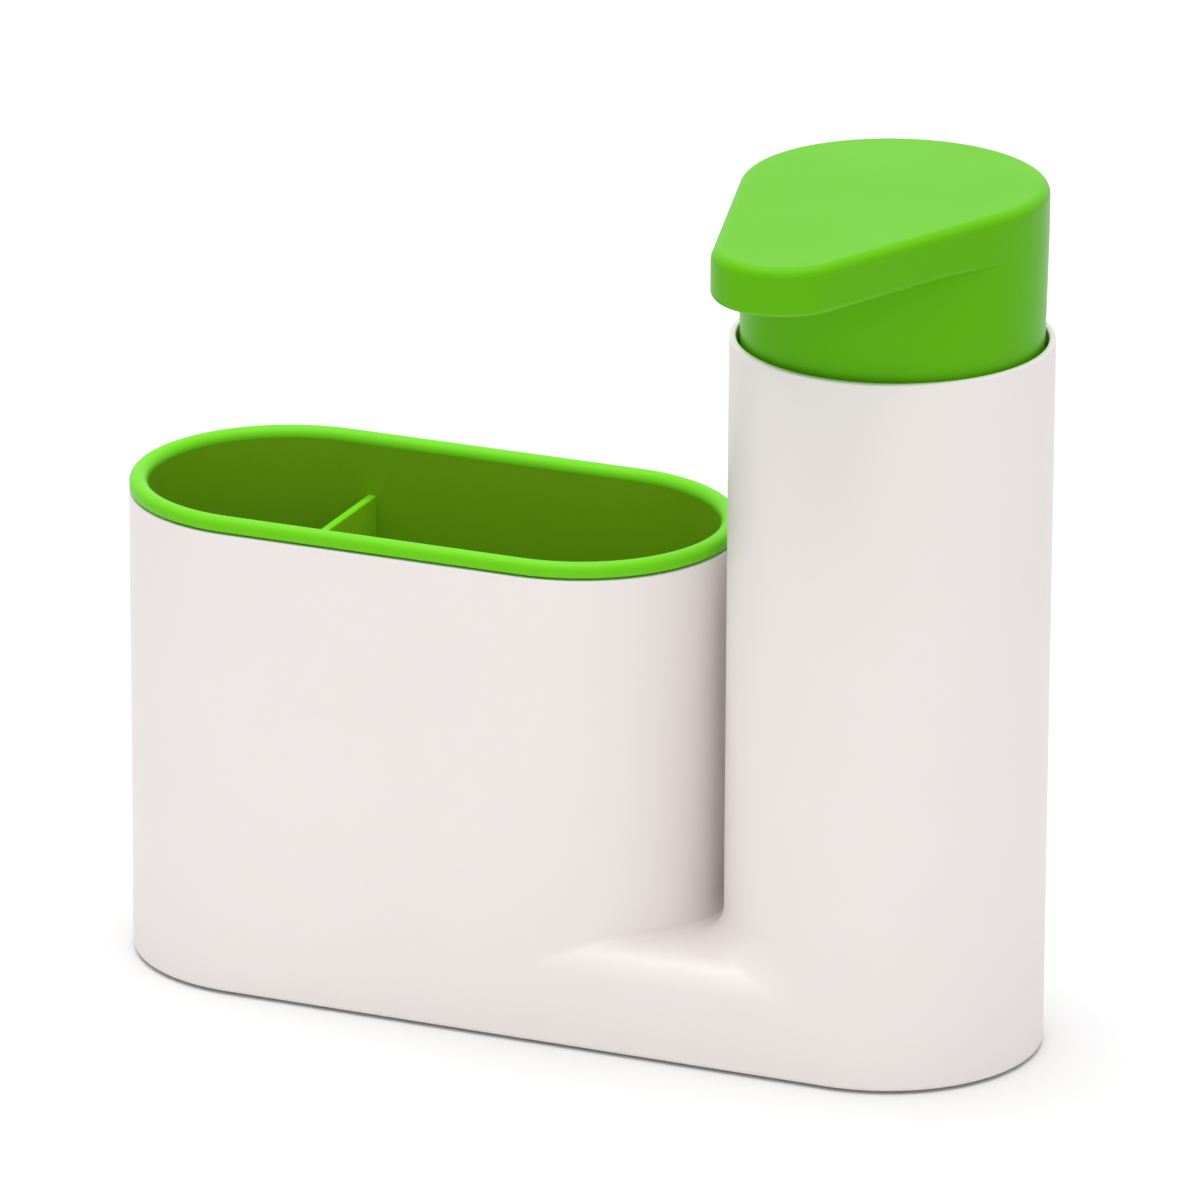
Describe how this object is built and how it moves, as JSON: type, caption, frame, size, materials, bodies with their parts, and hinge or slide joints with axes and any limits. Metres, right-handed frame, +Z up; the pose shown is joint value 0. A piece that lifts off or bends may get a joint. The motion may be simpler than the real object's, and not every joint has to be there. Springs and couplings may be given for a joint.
{
  "type": "soap pump caddy",
  "caption": "Free-standing sink caddy: white moulded body with a stadium-shaped brush and sponge holder, green lift-out liner and a lotion pump tower with a spouted press head.",
  "frame": {"origin": "middle of the base on the resting plane", "axes": "+X along the base towards the dispenser tower, -Y to the front where the spout points, +Z up"},
  "size_m": [0.1971, 0.0972, 0.1815],
  "materials": {
    "white_abs": "satin moulded ABS",
    "green_plastic": "satin moulded plastic",
    "pad_rubber": "matt",
    "steel": "plain",
    "bottle_plastic": "natural polyethylene",
    "white_pump_plastic": "moulded polypropylene",
    "clear_pump_plastic": "natural polypropylene",
    "gasket_foam": "matt"
  },
  "bodies": {
    "base": {"body_shell": "white_abs", "base_plate": "white_abs", "base_pad": "pad_rubber", "base_screws": "steel"},
    "liner": {"caddy_liner": "green_plastic"},
    "bottle": {"soap_bottle": "bottle_plastic"},
    "pump_body": {"pump_cylinder": "clear_pump_plastic", "pump_chaplet": "white_pump_plastic", "neck_gasket": "gasket_foam", "dip_tube": "clear_pump_plastic"},
    "collar": {"pump_collar": "white_pump_plastic"},
    "foot_valve": {"check_ball": "steel"},
    "spring": {"return_spring": "steel"},
    "plunger": {"pump_head": "green_plastic", "head_core": "white_pump_plastic", "nose_cover": "green_plastic", "spout_nozzle": "green_plastic", "pump_stem": "white_pump_plastic", "piston_seat": "white_pump_plastic"},
    "piston": {"pump_piston": "clear_pump_plastic"}
  },
  "joints": [
    {"name": "liner_lift", "type": "slide", "parent": "base", "child": "liner", "axis": [0, 0, 1], "range_m": [0, 0.08]},
    {"name": "bottle_lift", "type": "slide", "parent": "base", "child": "bottle", "axis": [0, 0, 1], "range_m": [0, 0.15]},
    {"name": "pump_lift", "type": "slide", "parent": "bottle", "child": "pump_body", "axis": [0, 0, 1], "range_m": [0, 0.0045]},
    {"name": "collar_turn", "type": "hinge", "parent": "pump_body", "child": "collar", "pos_m": [0.066, 0, 0.12], "axis": [0, 0, 1], "range_deg": [0, 540]},
    {"name": "ball_lift", "type": "slide", "parent": "pump_body", "child": "foot_valve", "axis": [0, 0, 1], "range_m": [0, 0.0016]},
    {"name": "head_swivel", "type": "hinge", "parent": "pump_body", "child": "spring", "pos_m": [0.066, 0, 0.15], "axis": [0, 0, 1], "continuous": true},
    {"name": "head_press", "type": "slide", "parent": "spring", "child": "plunger", "axis": [0, 0, -1], "range_m": [0, 0.018], "stiffness_N_per_m": 300, "springref_m": -0.01, "deforming": ["return_spring"]},
    {"name": "piston_slip", "type": "slide", "parent": "plunger", "child": "piston", "axis": [0, 0, 1], "range_m": [0, 0.0012]}
  ],
  "couplings": [
    {"joint": "pump_lift", "follows": "collar_turn", "m_per_rad": 0.000477}
  ]
}
